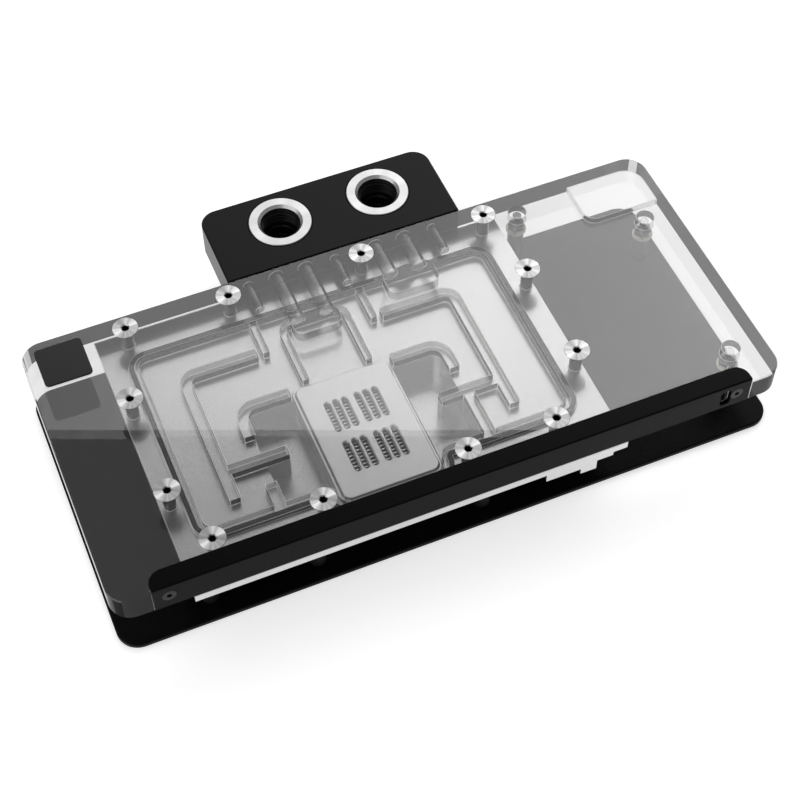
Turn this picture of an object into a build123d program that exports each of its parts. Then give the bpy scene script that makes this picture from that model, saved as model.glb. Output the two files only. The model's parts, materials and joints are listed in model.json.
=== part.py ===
import os

from build123d import *

os.makedirs("parts", exist_ok=True)

# Full-cover liquid cooling block for a graphics card, in millimetres.
# Plate coordinates run from the cover's front left corner: X along the card, Y towards the ports.
# The frame's origin is at the middle of the footprint, on the face that the block lies on.

# Clear cover
cover_length = 220.0
cover_thickness = 9.2
cover_back_margin = 14.0
cover_corner_radius = 7.0
cover_edge_break = 0.4

# Layers under the cover, from the bottom up
backplate_thickness = 2.0
spacer_height = 4.3
standoff_height = 9.0
cold_plate_thickness = 3.0

# Water chamber milled into the cover's underside
chamber_x = 34.0
chamber_y = 18.6
chamber_length = 120.6
chamber_width = 68.8
chamber_depth = 3.0
chamber_corner_radius = 3.6
cover_width = chamber_y + chamber_width + cover_back_margin

# Guides in the chamber: reaches from the jet axis, insets from the chamber's edges
guide_width = 3.5
guide_bend_radius = 3.75
thin_guide_width = 2.2
guide_side_margin = 13.9
guide_arm_inset = 12.4
guide_arm_end = 21.5
guide_foot_inset = 6.8
lower_arm_inset = 17.5
lower_arm_end = 25.5
hook_reach = 34.65
hook_inset = 37.7
hook_length = 10.9
hook_bend_radius = 5.25
left_stub_length = 8.0
back_stub_reach = 18.6
back_stub_length = 13.4
arch_reach = 10.8
arch_inset = 4.5

# Wells sunk in the cold plate beside the fins, and the block that hangs under them
well_inner_reach = 16.2
well_depth = 8.0
well_corner_radius = 3.5
well_floor_thickness = 1.5
die_block_margin = 3.6

# Jet plate over the fins, on the water inlet's axis
jet_inset = 58.2
jet_x = chamber_x + jet_inset
jet_plate_length = 47.4
jet_plate_width = 34.0
jet_plate_overhang = 7.3
jet_plate_corner_radius = 4.0
jet_flange_thickness = 0.8
jet_flange_width = 1.3
jet_rise = 1.0
jet_slot_length = 11.5
jet_slot_width = 1.6
jet_slot_pitch = 2.9
jet_slots_in_group = 3
jet_group_pitch_x = 10.2
jet_group_pitch_y = 16.0

# Fins in the cold plate, under the jet plate, from well to well
fin_field_length = 38.0
fin_depth = 2.6
fin_thickness = 0.6
fin_pitch = 1.35

# Main seal around the chamber
seal_section = 1.6
seal_offset = 2.3
seal_groove_width = 2.0

# Water bores from the terminal, two for each port
water_bore_diameter = 5.0
water_bore_pitch = 10.2
water_bore_depth_below_top = 4.5
inlet_pocket_length = 16.4
inlet_pocket_width = 7.6
outlet_pocket_length = 17.8
outlet_pocket_width = 10.0
inlet_pocket_inset = 10.1
pocket_corner_radius = 3.0

# Terminal with two pipe ports
terminal_length = 82.3
terminal_depth = 31.6
terminal_height = 12.9
terminal_overhang = 21.5
terminal_corner_radius = 6.0
port_pitch = 35.1
port_shift = 3.4
port_setback = 18.1
port_thread_diameter = 11.6
port_thread_depth = 6.7
port_throat_diameter = 8.6
port_throat_floor = 2.0
water_way_web = 0.8
water_way_wall = 1.5
water_way_mouth = 5.0
port_ring_diameter = 21.2
port_ring_bore = 13.4
port_ring_thickness = 2.0
port_ring_proud = 0.3
face_seal_section = 0.9
face_seal_margin = 0.9
face_seal_groove_width = 1.3

# Screws
cover_screw_diameter = 4.0
cover_screw_head_diameter = 8.4
cover_screw_length = 12.0
cover_screw_socket = 2.5
corner_screw_shift = 0.2
jet_screw_left = 23.2
jet_screw_right = 23.9
front_end_screw_inset = 8.8
back_end_screw_reach = 5.0
left_screw_inset = 6.8
right_screw_inset = 8.6
front_screw_inset = 7.2
back_screw_inset = 8.9
side_screw_front_inset = 13.9
side_screw_back_inset = 18.3
cold_plate_left_edge = 3.2
cold_plate_right_edge = 2.6
terminal_screw_diameter = 3.0
terminal_screw_length = 40.0
terminal_screw_head_diameter = 5.5
terminal_screw_head_height = 3.0
terminal_screw_socket = 2.5
terminal_screw_side = 14.9
terminal_screw_reach = 15.6
small_screw_diameter = 2.5
small_screw_head_diameter = 4.4
small_screw_socket = 1.5
small_screw_bite = 2.3

# Front trim and the light strip behind it
trim_inset = 12.0
trim_thickness = 1.5
trim_top_width = 6.6
trim_corner_radius = 4.5
trim_screw_inset = 4.9
trim_screw_drop = 3.7
trim_screw_length = 7.0
light_groove_depth = 2.9
light_groove_height = 6.0
light_groove_lift = 1.6
light_board_thickness = 0.8
light_board_height = 5.0
lamp_size = 3.5
lamp_thickness = 1.2
lamp_pitch = 14.5
socket_slot_width = 3.4
socket_slot_height = 6.4
socket_slot_inset = 8.8
socket_slot_lift = 1.9
socket_depth = 2.4
socket_mouth_depth = 1.6
socket_mouth_height = 3.6

# Card posts, end posts and the parts on them
card_post_reach = 27.5
left_post_inset = 6.0
left_post_front = 8.0
right_post_inset = 7.8
right_post_front = 22.0
back_post_inset = 8.4
end_post_margin = 7.2
end_post_back_inset = 4.1
side_post_inset = 8.0
side_post_back = 78.3
corner_post_inset = 8.7
corner_post_front = 17.8
standoff_across_flats = 5.0
spacer_diameter = 5.5
end_spacer_height = 10.9
end_screw_diameter = 3.0
end_screw_head_diameter = 6.0
end_screw_length = 20.0
end_screw_socket = 2.0
washer_diameter = 7.0
washer_thickness = 0.5
nut_across_flats = 5.5
nut_height = 2.4
end_pocket_diameter = 6.4
end_pocket_depth = 3.5

# Contact pads under the cold plate
die_pad_size = 28.0
die_pad_height = 1.2
memory_pad_length = 14.0
memory_pad_width = 12.0
memory_pad_height = 0.6
memory_pad_pitch = 18.0
memory_pad_reach = 28.0
coil_pad_width = 8.0
coil_pad_length = 60.0
coil_pad_height = 1.4
edge_pad_reach = 27.8
edge_pad_steps = [(12.0, 3.3), (5.5, 5.8), (5.5, 1.6)]

# Recess under the cover's back right corner, clear of the card's power plug
plug_recess_length = 26.0
plug_recess_width = 16.7
plug_recess_depth = 2.5
plug_recess_radius = 4.0

# Plain badge on the cover's back left corner
badge_size = 15.4
badge_thickness = 0.6
badge_inset = 4.4
badge_back_inset = 3.4
badge_corner_radius = 1.5

# Fits
seat_gap = 0.05
slip_gap = 0.3
seal_gap = 0.04

# Heights of the layers
backplate_top = backplate_thickness
standoff_bottom = backplate_top + spacer_height
plate_bottom = standoff_bottom + standoff_height
plate_top = plate_bottom + cold_plate_thickness
die_block_bottom = plate_top - well_depth - well_floor_thickness
cover_top = plate_top + cover_thickness
bore_height = cover_top - water_bore_depth_below_top
pocket_height = bore_height + water_bore_diameter / 2 - plate_top

# Places worked out from the chamber and the jet axis
chamber_right = chamber_x + chamber_length
chamber_back = chamber_y + chamber_width
jet_plate_y = chamber_y - jet_plate_overhang + jet_plate_length / 2
jet_plate_back = jet_plate_y + jet_plate_length / 2
outlet_x = jet_x + port_pitch
port_xs = [jet_x + port_shift, outlet_x + port_shift]
port_y = cover_width + port_setback
terminal_x = jet_x - terminal_overhang + terminal_length / 2
terminal_screw_xs = [jet_x - terminal_screw_side] + [
    x + terminal_screw_reach for x in (jet_x, outlet_x)
]
left_screw_x = chamber_x - left_screw_inset
right_screw_x = chamber_right + right_screw_inset
front_screw_y = chamber_y - front_screw_inset
back_screw_y = chamber_back + back_screw_inset
cold_plate_left = left_screw_x - cold_plate_left_edge
cold_plate_right = right_screw_x + cold_plate_right_edge
cold_plate_length = cold_plate_right - cold_plate_left
inlet_pocket_y = chamber_back - inlet_pocket_inset
outlet_pocket_y = chamber_back - outlet_pocket_width / 2

jet_post_front = jet_plate_y - card_post_reach
edge_pad_depth = jet_post_front - standoff_across_flats / 2 - 2 * slip_gap

trim_left = trim_inset
trim_right = cover_length - trim_inset
trim_screw_xs = [trim_left + trim_screw_inset, trim_right - trim_screw_inset]
trim_screw_height = cover_top - trim_screw_drop
socket_slot_x = trim_right - socket_slot_inset
light_groove_end = socket_slot_x + socket_slot_width / 2
light_groove_length = 2 * light_groove_end - cover_length
light_board_length = light_groove_length - 2 * socket_slot_width - 4 * slip_gap
light_groove_middle = plate_top + light_groove_lift + light_groove_height / 2

footprint_depth = cover_width + terminal_depth


def at(x, y):
    """Turn plate coordinates into the frame's."""
    return (x - cover_length / 2, y - footprint_depth / 2)


cover_back_y = at(0, cover_width)[1]
cover_front_y = at(0, 0)[1]
terminal_back_y = at(0, footprint_depth)[1]

front_screw_xs = (
    chamber_x + corner_screw_shift,
    jet_x - jet_screw_left,
    jet_x + jet_screw_right,
    chamber_right - front_end_screw_inset,
)
back_screw_xs = (
    chamber_x + corner_screw_shift,
    jet_x - jet_screw_left,
    jet_x + jet_screw_left,
    chamber_right + back_end_screw_reach,
)
side_screw_ys = (chamber_y + side_screw_front_inset, chamber_back - side_screw_back_inset)
cover_screw_places = (
    [at(x, front_screw_y) for x in front_screw_xs]
    + [at(x, back_screw_y) for x in back_screw_xs]
    + [at(x, y) for x in (left_screw_x, right_screw_x) for y in side_screw_ys]
)
card_post_places = [
    at(jet_x + side * card_post_reach, jet_plate_y + end * card_post_reach)
    for side in (-1, 1)
    for end in (-1, 1)
] + [
    at(cold_plate_left + left_post_inset, left_post_front),
    at(cold_plate_left + left_post_inset, cover_width - back_post_inset),
    at(cold_plate_right - right_post_inset, right_post_front),
    at(cold_plate_right - right_post_inset, cover_width - back_post_inset),
]
end_post_places = [
    at(cold_plate_right + end_post_margin, cover_width - end_post_back_inset),
    at(cover_length - side_post_inset, side_post_back),
    at(cover_length - corner_post_inset, corner_post_front),
]

# Outline of the water chamber: a rounded rectangle with a bay for the jet plate's front end
with BuildSketch() as chamber_outline:
    with Locations(at(chamber_x + chamber_length / 2, chamber_y + chamber_width / 2)):
        Rectangle(chamber_length, chamber_width)
    with Locations(at(jet_x, jet_plate_y)):
        Rectangle(jet_plate_width + 2 * slip_gap, jet_plate_length + 2 * slip_gap)
    fillet(chamber_outline.vertices(), chamber_corner_radius)

# Guides that stay standing in the chamber, alike on both sides of the jet axis
jet_mirror = Plane(origin=(*at(jet_x, 0), 0), z_dir=(1, 0, 0))
bay_reach = jet_plate_width / 2 + slip_gap
spine_x = jet_x + chamber_length / 2 - guide_side_margin
with BuildSketch() as guides:
    with BuildLine() as outer_guide:
        FilletPolyline(
            at(jet_x + guide_arm_end, chamber_back - guide_arm_inset),
            at(spine_x, chamber_back - guide_arm_inset),
            at(spine_x, chamber_y + guide_foot_inset),
            radius=guide_bend_radius,
        )
    trace(line_width=guide_width)
    with BuildLine() as back_stub:
        Line(
            at(jet_x + back_stub_reach, chamber_back),
            at(jet_x + back_stub_reach, chamber_back - back_stub_length),
        )
    trace(line_width=thin_guide_width)
    with BuildLine() as lower_arm:
        Line(
            at(jet_x + lower_arm_end, chamber_y + lower_arm_inset),
            at(spine_x, chamber_y + lower_arm_inset),
        )
    trace(line_width=guide_width)
    with BuildLine() as hook:
        FilletPolyline(
            at(jet_x + bay_reach, chamber_y + hook_inset),
            at(jet_x + hook_reach, chamber_y + hook_inset),
            at(jet_x + hook_reach, chamber_y + hook_inset - hook_length),
            radius=hook_bend_radius,
        )
    trace(line_width=guide_width)
    mirror(about=jet_mirror)
    with BuildLine() as front_stubs:
        Line(
            at(jet_x + hook_reach, chamber_y),
            at(jet_x + hook_reach, chamber_y + lower_arm_inset),
        )
        Line(
            at(jet_x - hook_reach, chamber_y),
            at(jet_x - hook_reach, chamber_y + left_stub_length),
        )
    trace(line_width=guide_width)
    with BuildLine() as inlet_arch:
        FilletPolyline(
            at(jet_x - arch_reach, jet_plate_back),
            at(jet_x - arch_reach, chamber_back - arch_inset),
            at(jet_x + arch_reach, chamber_back - arch_inset),
            at(jet_x + arch_reach, jet_plate_back),
            radius=guide_bend_radius,
        )
    trace(line_width=thin_guide_width)
    with Locations(at(jet_x, jet_plate_y)):
        RectangleRounded(
            jet_plate_width + 2 * slip_gap,
            jet_plate_length + 2 * slip_gap,
            jet_plate_corner_radius,
            mode=Mode.SUBTRACT,
        )

# Outline of the wells, in line with the guides that stand round them
well_outer_reach = hook_reach - guide_width / 2
well_back = chamber_y + hook_inset - guide_width / 2
with BuildSketch() as wells:
    with Locations(at(jet_x + well_inner_reach, chamber_y)):
        Rectangle(
            well_outer_reach - well_inner_reach,
            well_back - chamber_y,
            align=(Align.MIN, Align.MIN),
        )
    fillet(wells.vertices().group_by(Axis.X)[-1], well_corner_radius)
    mirror(about=jet_mirror)
    add(guides.sketch, mode=Mode.SUBTRACT)

# Clear cover, sawn and milled from cast acrylic sheet
with BuildPart() as cover:
    with BuildSketch(Plane.XY.offset(plate_top)):
        with Locations(at(cover_length / 2, cover_width / 2)):
            RectangleRounded(cover_length, cover_width, cover_corner_radius)
    extrude(amount=cover_thickness)
    chamfer(cover.faces().sort_by(Axis.Z)[-1].edges(), cover_edge_break)
    chamfer(cover.faces().sort_by(Axis.Z)[0].edges(), cover_edge_break)
    with BuildSketch(Plane.XY.offset(plate_top)):
        add(chamber_outline.sketch)
        add(guides.sketch, mode=Mode.SUBTRACT)
    extrude(amount=chamber_depth, mode=Mode.SUBTRACT)
    with BuildSketch(Plane.XY.offset(plate_top)):
        offset(chamber_outline.sketch, seal_offset + seal_groove_width / 2)
        offset(chamber_outline.sketch, seal_offset - seal_groove_width / 2, mode=Mode.SUBTRACT)
    extrude(amount=seal_section + seal_gap, mode=Mode.SUBTRACT)
    with BuildSketch(Plane.XY.offset(plate_top)):
        with Locations(at(jet_x, inlet_pocket_y)):
            RectangleRounded(inlet_pocket_length, inlet_pocket_width, pocket_corner_radius)
        with Locations(at(outlet_x, outlet_pocket_y)):
            RectangleRounded(outlet_pocket_length, outlet_pocket_width, pocket_corner_radius)
    extrude(amount=pocket_height, mode=Mode.SUBTRACT)
    for bore_x, pocket_y in ((jet_x, inlet_pocket_y), (outlet_x, outlet_pocket_y)):
        with BuildSketch(Plane.XZ.offset(-cover_back_y)):
            with Locations((at(bore_x, 0)[0], bore_height)):
                with GridLocations(water_bore_pitch, 1, 2, 1):
                    Circle(water_bore_diameter / 2)
        extrude(amount=cover_width - pocket_y, mode=Mode.SUBTRACT)
    with BuildSketch(Plane.XZ.offset(-cover_back_y)):
        with Locations(*[(at(x, 0)[0], bore_height) for x in terminal_screw_xs]):
            Circle(terminal_screw_diameter / 2 + seat_gap)
    extrude(
        amount=terminal_screw_length + terminal_screw_head_height - terminal_depth + slip_gap,
        mode=Mode.SUBTRACT,
    )
    with Locations(*[(x, y, cover_top) for x, y in cover_screw_places]):
        CounterSinkHole(
            cover_screw_diameter / 2 + seat_gap,
            cover_screw_head_diameter / 2 + seat_gap,
            depth=cover_thickness,
            counter_sink_angle=90,
        )
    with BuildSketch(Plane.XY.offset(plate_top)):
        with Locations(*end_post_places):
            Circle(end_pocket_diameter / 2)
    extrude(amount=end_pocket_depth, mode=Mode.SUBTRACT)
    with BuildSketch(Plane.XY.offset(plate_top)):
        with Locations(
            at(cover_length - plug_recess_length / 2 + plug_recess_radius,
               cover_width - plug_recess_width / 2 + plug_recess_radius)
        ):
            RectangleRounded(
                plug_recess_length + 2 * plug_recess_radius,
                plug_recess_width + 2 * plug_recess_radius,
                plug_recess_radius,
            )
    extrude(amount=plug_recess_depth, mode=Mode.SUBTRACT)
    with BuildSketch(Plane.XY.offset(plate_top)):
        with Locations(at(cover_length / 2, trim_thickness / 2)):
            Rectangle(cover_length - 2 * trim_inset, trim_thickness)
    extrude(amount=cover_thickness, mode=Mode.SUBTRACT)
    with BuildSketch(Plane.XY.offset(plate_top + light_groove_lift)):
        with Locations(at(cover_length / 2, trim_thickness + light_groove_depth / 2)):
            Rectangle(light_groove_length, light_groove_depth)
    extrude(amount=light_groove_height, mode=Mode.SUBTRACT)
    with BuildSketch(Plane.XZ.offset(-cover_front_y)):
        with Locations(*[(at(x, 0)[0], trim_screw_height) for x in trim_screw_xs]):
            Circle(small_screw_diameter / 2 + seat_gap)
    extrude(amount=-trim_screw_length - slip_gap, mode=Mode.SUBTRACT)
cover.part.label = "clear_cover"
export_step(cover.part, "parts/clear_cover.step")

# Cold plate, milled from copper and nickel plated: a slab with a deeper block that holds fins and wells
with BuildPart() as cold_plate:
    with BuildSketch(Plane.XY.offset(plate_bottom)):
        with Locations(at(cold_plate_left + cold_plate_length / 2, cover_width / 2)):
            Rectangle(cold_plate_length, cover_width)
    extrude(amount=cold_plate_thickness)
    with BuildSketch(Plane.XY.offset(plate_bottom)):
        with Locations(at(jet_x, (chamber_y + well_back) / 2)):
            RectangleRounded(
                2 * (well_outer_reach + die_block_margin),
                well_back - chamber_y + 2 * die_block_margin,
                well_corner_radius,
            )
    extrude(amount=die_block_bottom - plate_bottom)
    with BuildSketch(Plane.XY.offset(plate_top)):
        add(wells.sketch)
    extrude(amount=-well_depth, mode=Mode.SUBTRACT)
    with BuildSketch(Plane.XY.offset(plate_top)):
        with Locations(at(jet_x, jet_plate_y)):
            Rectangle(2 * well_inner_reach, fin_field_length)
    extrude(amount=-fin_depth, mode=Mode.SUBTRACT)
    with BuildSketch(Plane.XY.offset(plate_top - fin_depth)):
        with Locations(at(jet_x, jet_plate_y)):
            with GridLocations(1, fin_pitch, 1, int((fin_field_length - fin_pitch) / fin_pitch)):
                Rectangle(2 * well_inner_reach, fin_thickness)
    extrude(amount=fin_depth)
    with BuildSketch(Plane.XY.offset(die_block_bottom)):
        with Locations(at(jet_x, jet_plate_y)):
            RectangleRounded(die_pad_size, die_pad_size, 1)
    extrude(amount=-die_pad_height)
    with BuildSketch(Plane.XY.offset(die_block_bottom)):
        for side in (-1, 1):
            with Locations(at(jet_x + side * memory_pad_reach, jet_plate_y)):
                with GridLocations(1, memory_pad_pitch, 1, 2):
                    Rectangle(memory_pad_width, memory_pad_length)
    extrude(amount=-memory_pad_height)
    with BuildSketch(Plane.XY.offset(plate_bottom)):
        with Locations(
            at(cold_plate_left + 2 * coil_pad_width, cover_width / 2),
            at(cold_plate_right - 2.5 * coil_pad_width, cover_width / 2),
        ):
            Rectangle(coil_pad_width, coil_pad_length)
    extrude(amount=-coil_pad_height)
    step_x = cold_plate_right - edge_pad_reach
    for step_length, step_height in edge_pad_steps:
        with BuildSketch(Plane.XY.offset(plate_bottom)):
            with Locations(at(step_x + step_length / 2, edge_pad_depth / 2)):
                Rectangle(step_length, edge_pad_depth)
        extrude(amount=-step_height)
        step_x += step_length
    with BuildSketch(Plane.XY.offset(plate_top)):
        with Locations(*cover_screw_places):
            Circle(cover_screw_diameter / 2 + seat_gap)
    extrude(amount=-cold_plate_thickness, mode=Mode.SUBTRACT)
    with BuildSketch(Plane.XY.offset(plate_bottom)):
        with Locations(*card_post_places):
            Circle(small_screw_diameter / 2 + seat_gap)
    extrude(amount=small_screw_bite + 2 * seat_gap, mode=Mode.SUBTRACT)
cold_plate.part.label = "cold_plate"
export_step(cold_plate.part, "parts/cold_plate.step")

# Jet plate, a thin nickel-plated lid on the fins with slots that aim the water
with BuildPart() as jet_plate:
    with BuildSketch(Plane.XY.offset(plate_top)):
        with Locations(at(jet_x, jet_plate_y)):
            RectangleRounded(jet_plate_width, jet_plate_length, jet_plate_corner_radius)
    extrude(amount=jet_flange_thickness)
    with BuildSketch(Plane.XY.offset(plate_top + jet_flange_thickness)):
        with Locations(at(jet_x, jet_plate_y)):
            RectangleRounded(
                jet_plate_width - 2 * jet_flange_width,
                jet_plate_length - 2 * jet_flange_width,
                jet_plate_corner_radius - jet_flange_width,
            )
    extrude(amount=jet_rise)
    fillet(jet_plate.faces().sort_by(Axis.Z)[-1].edges(), jet_rise / 3)
    with BuildSketch(Plane.XY.offset(plate_top)):
        with Locations(at(jet_x, jet_plate_y)):
            with GridLocations(jet_group_pitch_x, jet_group_pitch_y, 2, 2):
                with GridLocations(jet_slot_pitch, 1, jet_slots_in_group, 1):
                    SlotOverall(jet_slot_length, jet_slot_width, rotation=90)
    extrude(amount=jet_flange_thickness + jet_rise, mode=Mode.SUBTRACT)
jet_plate.part.label = "jet_plate"
export_step(jet_plate.part, "parts/jet_plate.step")

# Main seal, a round rubber cord ring in the groove round the chamber
seal_line = chamber_outline.sketch.face().outer_wire().offset_2d(seal_offset)
seal_line = seal_line.moved(Location((0, 0, plate_top + (seal_section + seal_gap) / 2)))
with BuildPart() as main_seal:
    with BuildLine():
        add(seal_line)
    with BuildSketch(Plane(origin=seal_line @ 0, z_dir=seal_line % 0)):
        Circle(seal_section / 2)
    sweep()
main_seal.part.label = "main_seal"
export_step(main_seal.part, "parts/main_seal.step")

# Cover screws, countersunk with hexagon sockets, through the cover into the cold plate
with BuildPart() as cover_screws:
    head_height = (cover_screw_head_diameter - cover_screw_diameter) / 2
    with Locations(*[(x, y, cover_top) for x, y in cover_screw_places]):
        Cone(
            cover_screw_diameter / 2,
            cover_screw_head_diameter / 2,
            head_height,
            align=(Align.CENTER, Align.CENTER, Align.MAX),
        )
        Cylinder(
            cover_screw_diameter / 2,
            cover_screw_length,
            align=(Align.CENTER, Align.CENTER, Align.MAX),
        )
    with BuildSketch(Plane.XY.offset(cover_top)):
        with Locations(*cover_screw_places):
            RegularPolygon(cover_screw_socket / 2, 6, major_radius=False)
    extrude(amount=-head_height, mode=Mode.SUBTRACT)
cover_screws.part.label = "cover_screws"
export_step(cover_screws.part, "parts/cover_screws.step")

# Terminal, milled from black acetal, with a thread, a throat and a water way for each port
terminal_bottom = cover_top - terminal_height
port_floor = terminal_bottom + port_throat_floor
thread_floor = cover_top - port_thread_depth
ring_seat = cover_top + port_ring_proud - port_ring_thickness
water_way_width = water_bore_pitch + water_bore_diameter
with BuildPart() as terminal:
    with BuildSketch(Plane.XY.offset(terminal_bottom)) as terminal_outline:
        with Locations(at(terminal_x, cover_width + terminal_depth / 2)):
            Rectangle(terminal_length, terminal_depth)
        fillet(terminal_outline.vertices().group_by(Axis.Y)[-1], terminal_corner_radius)
    extrude(amount=terminal_height)
    chamfer(terminal.faces().sort_by(Axis.Z)[-1].edges(), cover_edge_break)
    with Locations(*[(*at(x, port_y), cover_top) for x in port_xs]):
        Cylinder(
            port_ring_diameter / 2 + seat_gap,
            cover_top - ring_seat,
            align=(Align.CENTER, Align.CENTER, Align.MAX),
            mode=Mode.SUBTRACT,
        )
        Cylinder(
            port_thread_diameter / 2,
            port_thread_depth,
            align=(Align.CENTER, Align.CENTER, Align.MAX),
            mode=Mode.SUBTRACT,
        )
        Cylinder(
            port_throat_diameter / 2,
            cover_top - port_floor,
            align=(Align.CENTER, Align.CENTER, Align.MAX),
            mode=Mode.SUBTRACT,
        )
    way_roof = thread_floor - water_way_web
    way_rise = bore_height + water_bore_diameter / 2
    way_lip = bore_height - water_bore_diameter / 2
    way_front = cover_back_y + water_way_wall
    way_back = cover_back_y + water_way_mouth
    for way_x in (jet_x, outlet_x):
        with BuildSketch(Plane.YZ.offset(at(way_x, 0)[0] - water_way_width / 2)):
            with BuildLine():
                Polyline(
                    (cover_back_y, way_rise),
                    (way_back, way_rise),
                    (way_back, way_roof),
                    (at(0, port_y)[1], way_roof),
                    (at(0, port_y)[1], port_floor),
                    (way_front, port_floor),
                    (way_front, way_lip),
                    (cover_back_y, way_lip),
                    close=True,
                )
            make_face()
        extrude(amount=water_way_width, mode=Mode.SUBTRACT)
    with BuildSketch(Plane.XZ.offset(-cover_back_y)):
        with Locations(*[(at(x, 0)[0], bore_height) for x in (jet_x, outlet_x)]):
            SlotCenterToCenter(
                water_bore_pitch,
                water_bore_diameter + 2 * face_seal_margin + face_seal_groove_width,
            )
            SlotCenterToCenter(
                water_bore_pitch,
                water_bore_diameter + 2 * face_seal_margin - face_seal_groove_width,
                mode=Mode.SUBTRACT,
            )
    extrude(amount=-face_seal_section - seal_gap, mode=Mode.SUBTRACT)
    for screw_x in terminal_screw_xs:
        with Locations(Plane(origin=(at(screw_x, 0)[0], terminal_back_y, bore_height), z_dir=(0, 1, 0))):
            CounterBoreHole(
                terminal_screw_diameter / 2 + seat_gap,
                terminal_screw_head_diameter / 2 + slip_gap,
                terminal_screw_head_height + slip_gap,
                depth=terminal_depth,
            )
terminal.part.label = "terminal"
export_step(terminal.part, "parts/terminal.step")

# Port rings, turned and chromed, pressed into the terminal's top
for ring_name, ring_x in (("inlet_ring", port_xs[0]), ("outlet_ring", port_xs[1])):
    with BuildPart() as port_ring:
        with BuildSketch(Plane.XY.offset(ring_seat)):
            with Locations(at(ring_x, port_y)):
                Circle(port_ring_diameter / 2)
                Circle(port_ring_bore / 2, mode=Mode.SUBTRACT)
        extrude(amount=port_ring_thickness)
        fillet(port_ring.faces().sort_by(Axis.Z)[-1].edges(), port_ring_proud)
    port_ring.part.label = ring_name
    export_step(port_ring.part, f"parts/{ring_name}.step")

# Face seals, one oval rubber ring round each pair of bores, between terminal and cover
for seal_name, seal_x in (("inlet_face_seal", jet_x), ("outlet_face_seal", outlet_x)):
    with BuildSketch(Plane.XZ.offset(-cover_back_y)) as face_seal_outline:
        with Locations((at(seal_x, 0)[0], bore_height)):
            SlotCenterToCenter(water_bore_pitch, water_bore_diameter + 2 * face_seal_margin)
    face_seal_line = face_seal_outline.sketch.face().outer_wire()
    face_seal_line = face_seal_line.moved(Location((0, (face_seal_section + seal_gap) / 2, 0)))
    with BuildPart() as face_seal:
        with BuildLine():
            add(face_seal_line)
        with BuildSketch(Plane(origin=face_seal_line @ 0, z_dir=face_seal_line % 0)):
            Circle(face_seal_section / 2)
        sweep()
    face_seal.part.label = seal_name
    export_step(face_seal.part, f"parts/{seal_name}.step")

# Terminal screws, cap heads sunk in the terminal's back, threaded into the cover
with BuildPart() as terminal_screws:
    head_seat_y = terminal_back_y - slip_gap
    for screw_x in terminal_screw_xs:
        with Locations(Plane(origin=(at(screw_x, 0)[0], head_seat_y, bore_height), z_dir=(0, 1, 0))):
            Cylinder(
                terminal_screw_head_diameter / 2,
                terminal_screw_head_height,
                align=(Align.CENTER, Align.CENTER, Align.MAX),
            )
            Cylinder(
                terminal_screw_diameter / 2,
                terminal_screw_length,
                align=(Align.CENTER, Align.CENTER, Align.MAX),
            )
        with BuildSketch(Plane(origin=(at(screw_x, 0)[0], head_seat_y, bore_height), z_dir=(0, 1, 0))):
            RegularPolygon(terminal_screw_socket / 2, 6, major_radius=False)
        extrude(amount=-terminal_screw_head_height / 2, mode=Mode.SUBTRACT)
terminal_screws.part.label = "terminal_screws"
export_step(terminal_screws.part, "parts/terminal_screws.step")

# Front trim, an aluminium angle, anodised black, with a slot for the light strip's plug
with BuildPart() as front_trim:
    with BuildSketch(Plane.XY.offset(cover_top)) as trim_top_outline:
        with Locations(at(cover_length / 2, trim_top_width / 2)):
            Rectangle(trim_right - trim_left, trim_top_width)
        fillet(trim_top_outline.vertices().group_by(Axis.Y)[-1], trim_corner_radius)
    extrude(amount=trim_thickness)
    with BuildSketch(Plane.XY.offset(plate_top)):
        with Locations(at(cover_length / 2, trim_thickness / 2)):
            Rectangle(trim_right - trim_left, trim_thickness)
    extrude(amount=cover_thickness)
    fillet(
        front_trim.edges().filter_by(Axis.X).group_by(Axis.Z)[-1].sort_by(Axis.Y)[0],
        trim_thickness / 3,
    )
    with BuildSketch(Plane.XZ.offset(-cover_front_y)):
        with Locations(
            (at(socket_slot_x, 0)[0], plate_top + socket_slot_lift + socket_slot_height / 2)
        ):
            RectangleRounded(socket_slot_width, socket_slot_height, 2 * trim_thickness / 3)
    extrude(amount=-trim_thickness, mode=Mode.SUBTRACT)
    for screw_x in trim_screw_xs:
        with Locations(
            Plane(origin=(at(screw_x, 0)[0], cover_front_y, trim_screw_height), z_dir=(0, -1, 0))
        ):
            CounterSinkHole(
                small_screw_diameter / 2 + seat_gap,
                small_screw_head_diameter / 2 + seat_gap,
                depth=trim_thickness,
                counter_sink_angle=90,
            )
front_trim.part.label = "front_trim"
export_step(front_trim.part, "parts/front_trim.step")

# Trim screws, countersunk, through the trim's face into the cover
with BuildPart() as trim_screws:
    small_head_height = (small_screw_head_diameter - small_screw_diameter) / 2
    for screw_x in trim_screw_xs:
        screw_plane = Plane(
            origin=(at(screw_x, 0)[0], cover_front_y, trim_screw_height), z_dir=(0, -1, 0)
        )
        with Locations(screw_plane):
            Cone(
                small_screw_diameter / 2,
                small_screw_head_diameter / 2,
                small_head_height,
                align=(Align.CENTER, Align.CENTER, Align.MAX),
            )
            Cylinder(
                small_screw_diameter / 2,
                trim_screw_length,
                align=(Align.CENTER, Align.CENTER, Align.MAX),
            )
        with BuildSketch(screw_plane):
            RegularPolygon(small_screw_socket / 2, 6, major_radius=False)
        extrude(amount=-small_head_height, mode=Mode.SUBTRACT)
trim_screws.part.label = "trim_screws"
export_step(trim_screws.part, "parts/trim_screws.step")

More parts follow.
